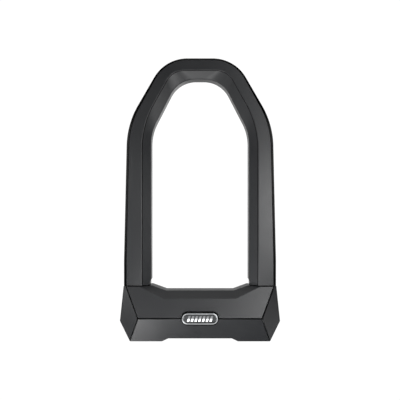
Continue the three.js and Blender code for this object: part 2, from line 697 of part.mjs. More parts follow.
function boltPin(side) {
  const highZ = BOLT.highZ - BOLT.roof - GAP;
  return upright(BOLT.pinR, CAM.lowZ + 2 * GAP, highZ, side * CAM.startR, 0, SMALL_ROUND);
}

// ---------- keyhole cover ----------
function keyholeCover() {
  const section = polygon([
    [-SLIDE.lipY, SLIDE.lowZ],
    [SLIDE.lipY, SLIDE.lowZ],
    [SLIDE.lipY, SLIDE.stepZ],
    [SLIDE.railY, SLIDE.stepZ],
    [SLIDE.railY, SLIDE.highZ],
    [-SLIDE.railY, SLIDE.highZ],
    [-SLIDE.railY, SLIDE.stepZ],
    [-SLIDE.lipY, SLIDE.stepZ],
  ]);
  const geometry = new THREE.ExtrudeGeometry(section, { depth: 2 * SLIDE.x, bevelEnabled: false });
  geometry.applyMatrix4(new THREE.Matrix4().makeBasis(vec(0, 1, 0), vec(0, 0, 1), vec(1, 0, 0)));
  geometry.translate(-SLIDE.x, 0, 0);
  let slide = solid(geometry);
  for (let rib = 0; rib < GRIP.count; rib += 1) {
    const x = GRIP.start - SLIDE.x + GRIP.pitch * rib;
    const low = [x, -GRIP.y, SLIDE.lowZ - OVERCUT];
    slide = slide.subtract(box(low, [x + GRIP.wide, GRIP.y, SLIDE.lowZ + GRIP.deep]));
  }
  return slide;
}

function coverScrew(side) {
  const x = side * FIXING.x;
  const head = upright(FIXING.head, FIXING.headZ[0], FIXING.headZ[1], x, 0, SMALL_ROUND);
  const shank = upright(FIXING.shank, FIXING.headZ[1] - GAP, FIXING.topZ, x, 0, SMALL_ROUND);
  const driveTop = FIXING.headZ[0] + SOCKET_DRIVE.deep;
  const drive = upright(SOCKET_DRIVE.r, FIXING.headZ[0] - OVERCUT, driveTop, x, 0, SOCKET_DRIVE.sides);
  return head.add(shank).subtract(drive);
}

// ---------- badge ----------
function badgePlate() {
  const body = frontPlate(stadium(BADGE.width, BADGE.height, BADGE.z), -BADGE.frontY, -BADGE.backY);
  const inset = 2 * BADGE.rim;
  const field = stadium(BADGE.width - inset, BADGE.height - inset, BADGE.z);
  return body.subtract(frontPlate(field, -BADGE.frontY - OVERCUT, -BADGE.backY - BADGE.floor));
}

function badgeRing() {
  const outline = stadium(BADGE_RING.width, BADGE_RING.height, BADGE.z);
  const body = frontPlate(outline, -BADGE_RING.frontY, -BADGE_RING.backY);
  const hole = stadium(BADGE.width + 2 * GAP, BADGE.height + 2 * GAP, BADGE.z);
  return body.subtract(frontPlate(hole, -BADGE_RING.frontY - OVERCUT, -BADGE_RING.backY + OVERCUT));
}

// A plain row of leaning bars on a sunken field.
function badgeField() {
  const inset = 2 * (BADGE.rim + GAP);
  const outline = stadium(BADGE.width - inset, BADGE.height - inset, BADGE.z);
  let field = frontPlate(outline, -BADGE.fieldY, -BADGE.backY - BADGE.floor - GAP);
  for (let mark = 0; mark < BADGE_MARK.count; mark += 1) {
    const x = (mark - (BADGE_MARK.count - 1) / 2) * BADGE_MARK.pitch;
    const low = BADGE.z - BADGE_MARK.tall / 2;
    const high = BADGE.z + BADGE_MARK.tall / 2;
    const bar = polygon([
      [x - BADGE_MARK.wide / 2 - BADGE_MARK.lean / 2, low],
      [x + BADGE_MARK.wide / 2 - BADGE_MARK.lean / 2, low],
      [x + BADGE_MARK.wide / 2 + BADGE_MARK.lean / 2, high],
      [x - BADGE_MARK.wide / 2 + BADGE_MARK.lean / 2, high],
    ]);
    field = field.add(frontPlate(bar, -BADGE.fieldY - BADGE_MARK.proud, -BADGE.fieldY + GAP));
  }
  return field;
}

// ---------- the lock ----------
const lock = new THREE.Group();
const crossbar = new THREE.Group();
const shackle = new THREE.Group();
const keyCore = new THREE.Group();
const bolts = new THREE.Group();
lock.add(crossbar, shackle, keyCore, bolts);

shackle.add(meshOf('shackle_bar', shackleBar().subtract(boltNotches()), HARD_STEEL()));
shackle.add(meshOf('shackle_jacket', shackleJacket(), PLASTIC()));
shackle.add(meshOf('shackle_edge_strip', edgeStrip(), BLACK_PLASTIC()));

crossbar.add(meshOf('upper_cover', upperCover(), PLASTIC()));
crossbar.add(meshOf('lower_cover', lowerCover(), PLASTIC()));
crossbar.add(meshOf('hardened_box', boxTube(), HARD_STEEL()));
crossbar.add(meshOf('lock_carrier', lockCarrier(), GREY_METAL()));
crossbar.add(meshOf('cylinder_barrel', cylinderBarrel(), BRASS()));
const barrelPin = crosswise(BARREL_PIN.r, BOX.y - GAP, BARREL_PIN.x, BARREL_PIN.z);
crossbar.add(meshOf('barrel_pin', barrelPin, ZINC_STEEL()));
crossbar.add(meshOf('badge_plate', badgePlate(), CHROME()));
crossbar.add(meshOf('badge_field', badgeField(), GREY_METAL()));
crossbar.add(meshOf('badge_ring', badgeRing(), BLACK_PLASTIC()));
crossbar.add(meshOf('keyhole_cover', keyholeCover(), BLACK_PLASTIC()));

for (const [name, side] of [['left', -1], ['right', 1]]) {
  const legX = side * BAR_LINE.legX;
  const sleeve = squareRing(SLEEVE_SIDE, SOCKET_HOLE, ...SLEEVE_Z, legX);
  const seal = squareRing(SEAL.side, SOCKET_HOLE, SEAL.lowZ, SEAL.highZ, legX);
  const pin = crosswise(CROSS_PIN.r, BOX.y - GAP, side * CROSS_PIN.x, CROSS_PIN.z);
  crossbar.add(meshOf(`${name}_end_cap`, endCap(side), PLASTIC()));
  crossbar.add(meshOf(`${name}_end_plate`, endPlate(side), HARD_STEEL()));
  crossbar.add(meshOf(`${name}_socket_sleeve`, sleeve, BLACK_PLASTIC()));
  crossbar.add(meshOf(`${name}_socket_seal`, seal, RUBBER()));
  crossbar.add(meshOf(`${name}_carrier_pin`, pin, ZINC_STEEL()));
  crossbar.add(meshOf(`${name}_cover_screw`, coverScrew(side), ZINC_STEEL()));
  bolts.add(meshOf(`${name}_bolt`, bolt(side), HARD_STEEL()));
  bolts.add(meshOf(`${name}_bolt_pin`, boltPin(side), ZINC_STEEL()));
}

const frontDisc = upright(FRONT_DISC.r, FRONT_DISC.lowZ, FRONT_DISC.highZ);
const openDisc = frontDisc.subtract(keyway(FRONT_DISC.lowZ, FRONT_DISC.highZ, 0));
keyCore.add(meshOf('key_plug', keyPlug(), BRASS()));
keyCore.add(meshOf('front_disc', openDisc, HARD_STEEL()));
keyCore.add(meshOf('side_bar', sideBar(), ZINC_STEEL()));
keyCore.add(meshOf('drive_cam', driveCam(), ZINC_STEEL()));
DISC_CODES.forEach((degrees, place) => {
  const pitch = DISC.thick + SPACER.thick + 2 * STACK_GAP;
  const lowZ = CORE.lowZ + STACK_GAP + place * pitch;
  keyCore.add(meshOf(`code_disc_${place + 1}`, codedDisc(lowZ, degrees), BRASS()));
  if (place + 1 < DISC_CODES.length) {
    const spacerZ = lowZ + DISC.thick + STACK_GAP;
    keyCore.add(meshOf(`disc_spacer_${place + 1}`, discSpacer(spacerZ), ZINC_STEEL()));
  }
});

export default lock;
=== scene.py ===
import json
import math

import bmesh
import bpy
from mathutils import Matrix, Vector


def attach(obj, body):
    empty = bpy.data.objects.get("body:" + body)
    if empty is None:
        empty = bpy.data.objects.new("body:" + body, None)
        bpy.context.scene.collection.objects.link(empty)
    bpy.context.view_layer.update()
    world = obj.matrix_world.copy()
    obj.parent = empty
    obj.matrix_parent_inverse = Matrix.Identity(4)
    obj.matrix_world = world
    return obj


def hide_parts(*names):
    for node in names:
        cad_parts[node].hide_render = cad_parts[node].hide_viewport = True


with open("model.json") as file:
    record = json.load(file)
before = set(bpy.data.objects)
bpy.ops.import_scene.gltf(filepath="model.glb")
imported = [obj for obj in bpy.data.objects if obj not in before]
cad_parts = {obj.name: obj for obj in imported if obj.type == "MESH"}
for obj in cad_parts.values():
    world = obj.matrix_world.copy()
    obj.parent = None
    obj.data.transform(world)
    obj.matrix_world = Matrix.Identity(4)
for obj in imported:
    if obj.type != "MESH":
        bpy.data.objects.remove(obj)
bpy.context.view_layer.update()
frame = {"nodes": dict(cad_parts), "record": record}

MM = 0.001
NODES = frame["nodes"]
SLOT_OF = {entry["node"]: entry["material_slot"] for entry in frame["record"]["subparts"]}

# ---------- camera ----------
CAMERA_DISTANCE = 0.5689
CAMERA_HEIGHT = 0.1405
LENS = 50.0
SENSOR = 36.0
CLIP = (0.01, 50)


def add_camera():
    data = bpy.data.cameras.new("camera")
    data.lens = LENS
    data.sensor_width = SENSOR
    data.sensor_fit = "HORIZONTAL"
    data.clip_start, data.clip_end = CLIP
    camera = bpy.data.objects.new("camera", data)
    camera.location = (0, -CAMERA_DISTANCE, CAMERA_HEIGHT)
    camera.rotation_euler = (math.pi / 2, 0, 0)
    bpy.context.scene.collection.objects.link(camera)
    bpy.context.scene.camera = camera


add_camera()


# ---------- stage ----------
WHITE_LEVEL = 1.05
FLOOR_HALF = 4.0
FLOOR_DROP = 0.2
DOME_RADIUS = 5.0
DOME_CUTS = (48, 24)


def emission(name, strength):
    material = bpy.data.materials.new(name)
    material.use_nodes = True
    nodes = material.node_tree.nodes
    nodes.clear()
    output = nodes.new("ShaderNodeOutputMaterial")
    shader = nodes.new("ShaderNodeEmission")
    shader.inputs["Color"].default_value = (1, 1, 1, 1)
    shader.inputs["Strength"].default_value = strength
    material.node_tree.links.new(shader.outputs[0], output.inputs["Surface"])
    return material


def stage_mesh(name, build, material):
    mesh = bpy.data.meshes.new(name)
    shape = bmesh.new()
    build(shape)
    shape.to_mesh(mesh)
    shape.free()
    mesh.materials.append(material)
    piece = bpy.data.objects.new(name, mesh)
    bpy.context.scene.collection.objects.link(piece)
    return piece


def camera_only(piece):
    """Seen behind the object, but lights and shadows nothing."""
    piece.visible_diffuse = False
    piece.visible_glossy = False
    piece.visible_transmission = False
    piece.visible_shadow = False


def build_floor(shape):
    bmesh.ops.create_grid(shape, x_segments=1, y_segments=1, size=FLOOR_HALF)


def build_dome(shape):
    across, up = DOME_CUTS
    bmesh.ops.create_uvsphere(shape, u_segments=across, v_segments=up, radius=DOME_RADIUS)


WHITE = emission("stage_white", WHITE_LEVEL)
floor = stage_mesh("floor", build_floor, WHITE)
dome = stage_mesh("backdrop", build_dome, WHITE)
floor.location.z = -FLOOR_DROP * MM
camera_only(floor)
camera_only(dome)


# ---------- lights ----------
def area_light(name, place, target, size, power):
    """A square soft light, in metres and watts, aimed at a point."""
    data = bpy.data.lights.new(name, "AREA")
    data.shape = "SQUARE"
    data.size = size
    data.energy = power
    light = bpy.data.objects.new(name, data)
    light.location = place
    aim = Vector(target) - Vector(place)
    light.rotation_euler = aim.to_track_quat("-Z", "Y").to_euler()
    light.visible_camera = False
    bpy.context.scene.collection.objects.link(light)


CENTRE = (0, 0, 0.14)
AMBIENT = 0.03
# name, place, the point it is aimed at, width and power
LIGHTS = [
    ("front_right", (0.16, -0.42, 0.12), (0.048, 0, 0.12), 0.16, 0.366),
    ("front_right_high", (0.16, -0.42, 0.28), (0.048, 0, 0.25), 0.16, 0.111),
    ("front_right_near", (0.16, -0.22, 0.12), (0.048, 0, 0.12), 0.16, 0.113),
    ("front_left_near", (-0.16, -0.22, 0.12), (-0.048, 0, 0.12), 0.16, 0.053),
    ("front_middle", (0, -0.22, 0.12), (0, 0, 0.12), 0.16, 0.036),
    ("front_low", (0, -0.22, -0.04), (0, 0, 0.03), 0.16, 0.278),
    ("low_left", (-0.16, -0.22, -0.18), (-0.048, 0, 0.03), 0.16, 0.529),
    ("far_low_left", (-1.02, -0.476, -0.51), CENTRE, 0.4, 3.096),
    ("far_low_right", (1.126, 0, -0.51), CENTRE, 0.6, 1.112),
    ("far_left", (-1.3, 0, 0.14), CENTRE, 0.6, 3.173),
    ("far_front_left", (-0.438, -1.203, 0.366), CENTRE, 0.4, 0.511),
    ("far_front_right", (0.385, -1.058, 0.79), CENTRE, 0.4, 1.741),
    ("top", (0, 0, 0.6), (0, 0, 0.25), 0.3, 0.585),
    ("top_back", (0, 0.25, 0.6), (0, 0, 0.05), 0.16, 0.03),
    ("far_back", (0, 1.3, 0.14), CENTRE, 0.6, 0.7),
    ("back_right", (0.16, 0.42, 0.12), (0.048, 0, 0.12), 0.16, 0.13),
    ("back_right_high", (0.16, 0.42, 0.28), (0.048, 0, 0.25), 0.16, 0.08),
    ("back_left_near", (-0.16, 0.3, 0.12), (-0.048, 0, 0.12), 0.16, 0.1),
    ("back_left_high", (-0.16, 0.3, 0.28), (-0.048, 0, 0.25), 0.16, 0.09),
    ("back_low", (0.24, 0.3, -0.06), (0, 0, 0.03), 0.16, 0.08),
    ("far_back_right", (0.9, 0.9, 0.3), CENTRE, 0.6, 2.0),
    ("far_back_left", (-0.9, 0.9, 0.3), CENTRE, 0.6, 2.0),
]
for light_facts in LIGHTS:
    area_light(*light_facts)

world = bpy.data.worlds.new("studio")
world.use_nodes = True
world.node_tree.nodes["Background"].inputs["Color"].default_value = (1, 1, 1, 1)
world.node_tree.nodes["Background"].inputs["Strength"].default_value = AMBIENT
bpy.context.scene.world = world
bpy.context.scene.view_settings.view_transform = "Standard"


# ---------- materials ----------
# lengths in millimetres, noise scales per metre
EDGE_SAMPLES = 6
EDGE_FACING = (0.86, 0.985)
EDGE_BREAKS = (0.38, 0.62)
EDGE_LEAST = 0.15
GRAIN_DEPTH = 0.02
MIDDLE = (0.3, 0.7)
WIDE = (0.15, 0.85)
PLASTIC = {
    "patches": 38.0, "flecks": 1500.0, "fleck_share": 0.3, "fleck_range": (0.3, 0.9),
    "gloss": 70.0, "gloss_range": (0.03, 0.04), "edge": 0.5, "edge_breaks": 420.0, "edge_rough": 0.06,
}
METAL = {
    "mark_rough": 0.6, "mark_share": 0.35, "smears": 55.0, "smear_range": (-0.03, 0.05),
    "gloss_range": (0.05, 0.09), "edge": 0.4, "edge_breaks": 600.0,
}
EVEN = (1, 1, 1)
DRAWN_UP = (1, 1, 0.04)
DRAWN_ACROSS = (0.05, 1, 1)
TURNED = (0.05, 0.05, 1)


class Look:
    """A Principled material with short ways to add noise, bump and worn edges."""

    def __init__(self, name, metallic=0.0, specular=0.5):
        self.material = bpy.data.materials.new(name)
        self.material.use_nodes = True
        self.tree = self.material.node_tree
        self.shader = self.tree.nodes["Principled BSDF"]
        self.shader.inputs["Metallic"].default_value = metallic
        self.shader.inputs["Specular IOR Level"].default_value = specular
        self.place = self.tree.nodes.new("ShaderNodeTexCoord").outputs["Object"]

    def node(self, kind, **values):
        made = self.tree.nodes.new(kind)
        for key, value in values.items():
            setattr(made, key, value)
        return made

    def link(self, start, end):
        self.tree.links.new(start, end)

    def noise(self, scale, detail, rough=0.5, stretch=EVEN):
        mapping = self.node("ShaderNodeMapping")
        mapping.inputs["Scale"].default_value = stretch
        self.link(self.place, mapping.inputs["Vector"])
        noise = self.node("ShaderNodeTexNoise")
        noise.inputs["Scale"].default_value = scale
        noise.inputs["Detail"].default_value = detail
        noise.inputs["Roughness"].default_value = rough
        self.link(mapping.outputs["Vector"], noise.inputs["Vector"])
        return noise.outputs["Fac"]

    def spread(self, value, low, high, given=MIDDLE):
        """Stretches the given range of a value to run from low to high."""
        span = self.node("ShaderNodeMapRange")
        span.inputs["From Min"].default_value = given[0]
        span.inputs["From Max"].default_value = given[1]
        span.inputs["To Min"].default_value = low
        span.inputs["To Max"].default_value = high
        self.link(value, span.inputs["Value"])
        return span.outputs["Result"]

    def math(self, operation, first, second):
        made = self.node("ShaderNodeMath", operation=operation)
        for socket, value in zip(made.inputs, (first, second)):
            if isinstance(value, (int, float)):
                socket.default_value = value
            else:
                self.link(value, socket)
        return made.outputs["Value"]

    def blend(self, fac, first, second):
        mix = self.node("ShaderNodeMix", data_type="RGBA")
        self.link(fac, mix.inputs["Factor"])
        for socket, value in ((mix.inputs["A"], first), (mix.inputs["B"], second)):
            if isinstance(value, tuple):
                socket.default_value = (*value, 1)
            else:
                self.link(value, socket)
        return mix.outputs["Result"]

    def worn_edges(self, radius, patches):
        """From 0 on the flats to 1 on an edge, broken up by noise."""
        soft = self.node("ShaderNodeBevel", samples=EDGE_SAMPLES)
        soft.inputs["Radius"].default_value = radius
        facing = self.node("ShaderNodeVectorMath", operation="DOT_PRODUCT")
        self.link(soft.outputs["Normal"], facing.inputs[0])
        self.link(self.node("ShaderNodeNewGeometry").outputs["Normal"], facing.inputs[1])
        edge = self.spread(facing.outputs["Value"], 1.0, 0.0, EDGE_FACING)
        breaks = self.spread(self.noise(patches, detail=4.0), EDGE_LEAST, 1.0, EDGE_BREAKS)
        return self.math("MULTIPLY", edge, breaks)

    def colour(self, value):
        self.link(value, self.shader.inputs["Base Color"])

    def roughness(self, value):
        self.link(value, self.shader.inputs["Roughness"])

    def bump(self, height, strength, soften=None):
        bump = self.node("ShaderNodeBump")
        bump.inputs["Strength"].default_value = strength
        bump.inputs["Distance"].default_value = GRAIN_DEPTH * MM
        self.link(height, bump.inputs["Height"])
        if soften:
            edge = self.node("ShaderNodeBevel", samples=EDGE_SAMPLES)
            edge.inputs["Radius"].default_value = soften * MM
            self.link(edge.outputs["Normal"], bump.inputs["Normal"])
        self.link(bump.outputs["Normal"], self.shader.inputs["Normal"])


def moulded(name, base, light, worn, roughness, grain=2600.0, bump=0.06, specular=0.5, soften=None):
    """Moulded plastic: a fine even grain, slow patches of tone and gloss, and edges rubbed a little."""
    look = Look(name, specular=specular)
    patches = look.noise(PLASTIC["patches"], detail=3.0)
    flecks = look.noise(PLASTIC["flecks"], detail=2.0)
    tone = look.blend(look.spread(patches, 0, 1, WIDE), base, light)
    speckle = look.spread(flecks, 0, PLASTIC["fleck_share"], PLASTIC["fleck_range"])
    speckled = look.blend(speckle, tone, light)
    edge = look.worn_edges(PLASTIC["edge"] * MM, PLASTIC["edge_breaks"])
    look.colour(look.blend(edge, speckled, worn))
    less, more = PLASTIC["gloss_range"]
    smears = look.noise(PLASTIC["gloss"], detail=4.0)
    gloss = look.spread(smears, roughness - less, roughness + more, WIDE)
    look.roughness(look.math("ADD", gloss, look.math("MULTIPLY", edge, PLASTIC["edge_rough"])))
    look.bump(look.noise(grain, detail=3.0), bump, soften)
    return look.material


def machined(name, base, light, worn, roughness, along, scratch, bump, soften=0.25):
    """Metal: tool or grinding marks drawn out along one axis, smears of tone and bright edges."""
    look = Look(name, metallic=1.0)
    marks = look.noise(scratch, detail=3.0, rough=METAL["mark_rough"], stretch=along)
    smear = look.noise(METAL["smears"], detail=4.0)
    tone = look.blend(look.spread(smear, 0, 1), base, light)
    marked = look.blend(look.spread(marks, 0, METAL["mark_share"]), tone, light)
    edge = look.worn_edges(METAL["edge"] * MM, METAL["edge_breaks"])
    look.colour(look.blend(edge, marked, worn))
    less, more = METAL["gloss_range"]
    gloss = look.spread(marks, roughness - less, roughness + more)
    look.roughness(look.math("ADD", gloss, look.spread(smear, *METAL["smear_range"])))
    look.bump(marks, bump, soften)
    return look.material


LOOKS = {
    "grey_plastic": moulded(
        "grey_moulding", base=(0.021, 0.022, 0.024), light=(0.027, 0.028, 0.030),
        worn=(0.042, 0.043, 0.045), roughness=0.3,
    ),
    "black_plastic": moulded(
        "black_moulding", base=(0.0012, 0.0012, 0.0013), light=(0.002, 0.002, 0.002),
        worn=(0.005, 0.005, 0.005), roughness=0.32, grain=3000.0, bump=0.04, specular=0.02,
    ),
    "rubber": moulded(
        "seal_rubber", base=(0.009, 0.009, 0.009), light=(0.014, 0.014, 0.014),
        worn=(0.02, 0.02, 0.02), roughness=0.72, grain=1800.0, bump=0.35, specular=0.35, soften=0.2,
    ),
    "hard_steel": machined(
        "hardened_steel", base=(0.33, 0.335, 0.345), light=(0.42, 0.425, 0.43),
        worn=(0.6, 0.6, 0.61), roughness=0.34, along=DRAWN_UP, scratch=1400.0, bump=0.1,
    ),
    "zinc_steel": machined(
        "plated_steel", base=(0.5, 0.51, 0.52), light=(0.6, 0.61, 0.62),
        worn=(0.72, 0.72, 0.72), roughness=0.3, along=EVEN, scratch=900.0, bump=0.06,
    ),
    "cast_zinc": machined(
        "cast_zinc_skin", base=(0.34, 0.35, 0.36), light=(0.42, 0.43, 0.44),
        worn=(0.55, 0.55, 0.56), roughness=0.46, along=EVEN, scratch=1100.0, bump=0.3,
    ),
    "brass": machined(
        "turned_brass", base=(0.56, 0.4, 0.16), light=(0.66, 0.5, 0.23),
        worn=(0.78, 0.64, 0.36), roughness=0.3, along=TURNED, scratch=2600.0, bump=0.1,
    ),
    "chrome": machined(
        "badge_chrome", base=(0.19, 0.195, 0.2), light=(0.24, 0.245, 0.25),
        worn=(0.34, 0.34, 0.35), roughness=0.16, along=EVEN, scratch=700.0, bump=0.03, soften=None,
    ),
    "grey_metal": machined(
        "badge_field_satin", base=(0.026, 0.027, 0.028), light=(0.036, 0.037, 0.038),
        worn=(0.08, 0.08, 0.082), roughness=0.32, along=DRAWN_ACROSS, scratch=2200.0, bump=0.1, soften=None,
    ),
}
# lit and shaded copies of one metal for the badge marks: painted highlight on most faces, painted shade on
# the upper slope
MARKS_PAINTED_LIT = machined(
    "marks_painted_lit", base=(0.62, 0.63, 0.64), light=(0.7, 0.71, 0.72),
    worn=(0.8, 0.8, 0.8), roughness=0.2, along=EVEN, scratch=700.0, bump=0.03, soften=None,
)
MARKS_PAINTED_SHADE = machined(
    "marks_painted_shade", base=(0.1, 0.102, 0.105), light=(0.13, 0.132, 0.135),
    worn=(0.2, 0.2, 0.2), roughness=0.25, along=EVEN, scratch=700.0, bump=0.03, soften=None,
)
# near-black painted shade, standing in for the shadow deep in the seams between the covers, under the
# jacket's feet and on its edge step
SEAM_SHADE = moulded(
    "seam_shadow", base=(0.0012, 0.0012, 0.0013), light=(0.002, 0.002, 0.002),
    worn=(0.003, 0.003, 0.003), roughness=0.75, grain=2600.0, bump=0.1, specular=0.05,
)
for node_name, cad_node in NODES.items():
    cad_node.data.materials.clear()
    cad_node.data.materials.append(LOOKS[SLOT_OF[node_name]])


# ---------- new pieces ----------
NORMAL_WEIGHT = 100


def add_piece(name, shape, node_name, body, sharp_degrees=50):
    """Puts a mesh built in millimetres in the place of one CAD node."""
    bmesh.ops.recalc_face_normals(shape, faces=shape.faces)
    for vertex in shape.verts:
        vertex.co *= MM
    mesh = bpy.data.meshes.new(name)
    for face in shape.faces:
        face.smooth = True
    shape.to_mesh(mesh)
    shape.free()
    mesh.set_sharp_from_angle(angle=math.radians(sharp_degrees))
    mesh.materials.append(LOOKS[SLOT_OF[node_name]])
    piece = bpy.data.objects.new(name, mesh)
    bpy.context.scene.collection.objects.link(piece)
    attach(piece, body)
    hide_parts(node_name)
    return piece


def weigh_normals(piece):
    weighted = piece.modifiers.new("weighted", "WEIGHTED_NORMAL")
    weighted.mode = "FACE_AREA"
    weighted.weight = NORMAL_WEIGHT
    weighted.keep_sharp = True


# ---------- shackle ----------
# Each line of the U is given in X and Z by its leg, the corners of its bends and their radii, in millimetres.
FOOT_Z = 54.5
NOTCH = {"depth": 1.2, "low": 58.4, "high": 59.9}
FOOT_CHAMFER = 0.6
TAPER_Z = 80.0
OUTER = {"leg": 76.5, "bend": (73.4, 217.0), "top": (35.1, 283.2), "radii": (85.0, 38.5)}
EDGE = {"leg": 58.3, "bend": (58.3, 216.3), "top": (27.5, 270.5), "radii": (95.0, 20.0)}
INNER = {"leg": 49.3, "bend": (49.3, 208.7), "top": (21.5, 262.5), "radii": (49.0, 28.6)}
BAR = {"leg": 60.4, "bend": (60.4, 211.4), "top": (26.85, 271.8), "radii": (60.0, 30.0)}
FRONT_Y = 14.0
OUTER_FLAT_Y = 9.0
INNER_FLAT_Y = 7.85
BEVEL_RUN = 2.8
STRIP_THICK = 1.4
STRIP_CROWN = 0.25
EDGE_STEP = {"run": 0.85, "drop": 0.95}
JACKET_ROUNDS = {"inner": 0.8, "edge": 0.75, "border": 0.25}
STRIP_ROUNDS = {"front": 0.3, "outer": 1.6}
JACKET_SHARP = 18
GAP = 0.3
BAR_HALF = 7.0
BEND_STEPS = 30
STRAIGHT_STEPS = 6
ROUND_STEPS = 4
ROUND_SHARE = 0.45
# the step painted dark as shade comes right after the rounded inner corner in the jacket's section
STEP_FACE = ROUND_STEPS + 1


def inset_line(line, inset):
    """The same line moved inwards by an even distance."""
    run = line["bend"][0] - line["top"][0]
    rise = line["top"][1] - line["bend"][1]
    length = math.hypot(run, rise)
    return {
        "leg": line["leg"] - inset,
        "bend": (line["bend"][0] - inset, line["bend"][1] - inset * (length - run) / rise),
        "top": (line["top"][0] - inset * (length - rise) / run, line["top"][1] - inset),
        "radii": (line["radii"][0] - inset, line["radii"][1] - inset),
    }


def fillet(before, corner, after, radius):
    """Points of an arc that rounds one corner of a line in X and Z."""
    back = (before - corner).normalized()
    ahead = (after - corner).normalized()
    half = math.acos(back.dot(ahead)) / 2
    centre = corner + (back + ahead).normalized() * (radius / math.sin(half))
    start = corner + back * (radius / math.tan(half)) - centre
    end = corner + ahead * (radius / math.tan(half)) - centre
    sweep = math.atan2(start.x * end.y - start.y * end.x, start.dot(end))
    points = []
    for step in range(BEND_STEPS + 1):
        turn = sweep * step / BEND_STEPS
        cos, sin = math.cos(turn), math.sin(turn)
        points.append(centre + Vector((start.x * cos - start.y * sin, start.x * sin + start.y * cos)))
    return points


def between(start, end, steps):
    return [start.lerp(end, step / steps) for step in range(1, steps)]


def u_line(line, notch=0.0):
    """The whole U from the right foot over the top to the left foot, with as many points for every line."""
    leg = Vector((line["leg"], TAPER_Z))
    bend = Vector(line["bend"])
    top = Vector(line["top"])
    middle = Vector((0, line["top"][1]))
    first = fillet(leg, bend, top, line["radii"][0])
    second = fillet(bend, top, middle, line["radii"][1])
    right = [
        Vector((line["leg"] + notch, FOOT_Z)),
        Vector((line["leg"] + notch, FOOT_Z + FOOT_CHAMFER)),
        Vector((line["leg"] + notch, NOTCH["low"])),
        Vector((line["leg"], NOTCH["high"])),
        leg,
        *between(leg, first[0], STRAIGHT_STEPS),
        *first,
        *between(first[-1], second[0], STRAIGHT_STEPS),
        *second,
    ]
    left = [Vector((-point.x, point.y)) for point in reversed(right)]
    return right + left


def rounded_section(corners, ring):
    """One ring of a loft, with each corner rounded by its own radius."""
    points = [Vector((line[ring].x, ys[ring], line[ring].y)) for line, ys, _ in corners]
    result = []
    for index, (_, _, radius) in enumerate(corners):
        here = points[index]
        before = points[index - 1]
        after = points[(index + 1) % len(points)]
        if radius == 0:
            result.append(here)
            continue
        start = here + (before - here).normalized() * min(radius, (before - here).length * ROUND_SHARE)
        end = here + (after - here).normalized() * min(radius, (after - here).length * ROUND_SHARE)
        for step in range(ROUND_STEPS + 1):
            t = step / ROUND_STEPS
            result.append(start * (1 - t) ** 2 + here * (2 * t * (1 - t)) + end * t ** 2)
    return result


def level(y):
    """The same half depth at every point of a line."""
    return [y] * len(u_line(BAR))


def both_sides(corners):
    """The corners of a half section mirrored to the front, and then the half behind them."""
    front = [(line, [-y for y in ys], radius) for line, ys, radius in corners]
    return front + list(reversed(corners))


def add_loft(shape, corners, chamfer=0.0, dark=()):
    """Adds the open tube of a section swept along its lines and gives back its two end loops of edges.

    The chamfers at the feet get the seam's material, a near-black painted shade, and so do the faces numbered
    in dark, on both sides.
    """
    count = len(corners[0][0])
    rings = [[shape.verts.new(point) for point in rounded_section(corners, ring)] for ring in range(count)]
    last = len(rings) - 2
    for place, (low, high) in enumerate(zip(rings, rings[1:])):
        foot = chamfer and place in (0, last)
        for index in range(len(low)):
            ahead = (index + 1) % len(low)
            face = shape.faces.new((low[index], low[ahead], high[ahead], high[index]))
            # painted shade: the foot chamfers and the numbered faces take the near-black seam material
            if foot or index in dark or len(low) - 2 - index in dark:
                face.material_index = 1
    for vertex in rings[0] + rings[-1]:
        middle = math.copysign(BAR["leg"], vertex.co.x)
        vertex.co.x -= math.copysign(chamfer, vertex.co.x - middle)
        vertex.co.y -= math.copysign(chamfer, vertex.co.y)
    ends = []
    for ring in (rings[0], rings[-1]):
        ends.append([shape.edges.get((ring[index - 1], ring[index])) for index in range(len(ring))])
    return ends


def close_ends(shape, *lofts):
    """Fills the flat ends between the tubes."""
    for end in range(2):
        edges = [edge for loft in lofts for edge in loft[end]]
        bmesh.ops.triangle_fill(shape, edges=edges, use_beauty=True, use_dissolve=False)


def under_flat(depth):
    """The half depth where the outer flat ends, once the flat and the bevel are both sunk by a depth."""
    lean = math.atan2(BEVEL_RUN, FRONT_Y - OUTER_FLAT_Y)
    return OUTER_FLAT_Y - math.tan(lean / 2) * depth


def bevel_rise(run):
    """How far the outer bevel comes forward over a run."""
    return run * (FRONT_Y - OUTER_FLAT_Y) / BEVEL_RUN


def make_jacket():
    under = STRIP_THICK + GAP
    border = BEVEL_RUN + GAP
    under_y = under_flat(under)
    step_y = under_y + bevel_rise(border - under)
    step = inset_line(EDGE, EDGE_STEP["run"])
    slope = (FRONT_Y - EDGE_STEP["drop"] - INNER_FLAT_Y) / (step["leg"] - INNER["leg"])
    inner_line = u_line(INNER, NOTCH["depth"])
    inner_ys = level(INNER_FLAT_Y)
    for ring, point in enumerate(inner_line):
        if point.y <= NOTCH["low"]:
            inner_ys[ring] += slope * NOTCH["depth"]
    shape = bmesh.new()
    skin = add_loft(shape, both_sides([
        (inner_line, inner_ys, JACKET_ROUNDS["inner"]),
        (u_line(step), level(FRONT_Y - EDGE_STEP["drop"]), 0),
        (u_line(EDGE), level(FRONT_Y), JACKET_ROUNDS["edge"]),
        (u_line(inset_line(OUTER, border)), level(FRONT_Y), JACKET_ROUNDS["border"]),
        (u_line(inset_line(OUTER, border)), level(step_y), 0),
        (u_line(inset_line(OUTER, under)), level(under_y), 0),
    ]), FOOT_CHAMFER, (STEP_FACE,))
    half = BAR_HALF + GAP
    hole = add_loft(shape, both_sides([
        (u_line(inset_line(BAR, half)), level(half), 0),
        (u_line(inset_line(BAR, -half)), level(half), 0),
    ]))
    close_ends(shape, skin, hole)
    piece = add_piece("shackle_skin", shape, "shackle_jacket", "shackle", JACKET_SHARP)
    # the second material is the near-black painted shade of the foot chamfers and the edge step
    piece.data.materials.append(SEAM_SHADE)
    weigh_normals(piece)


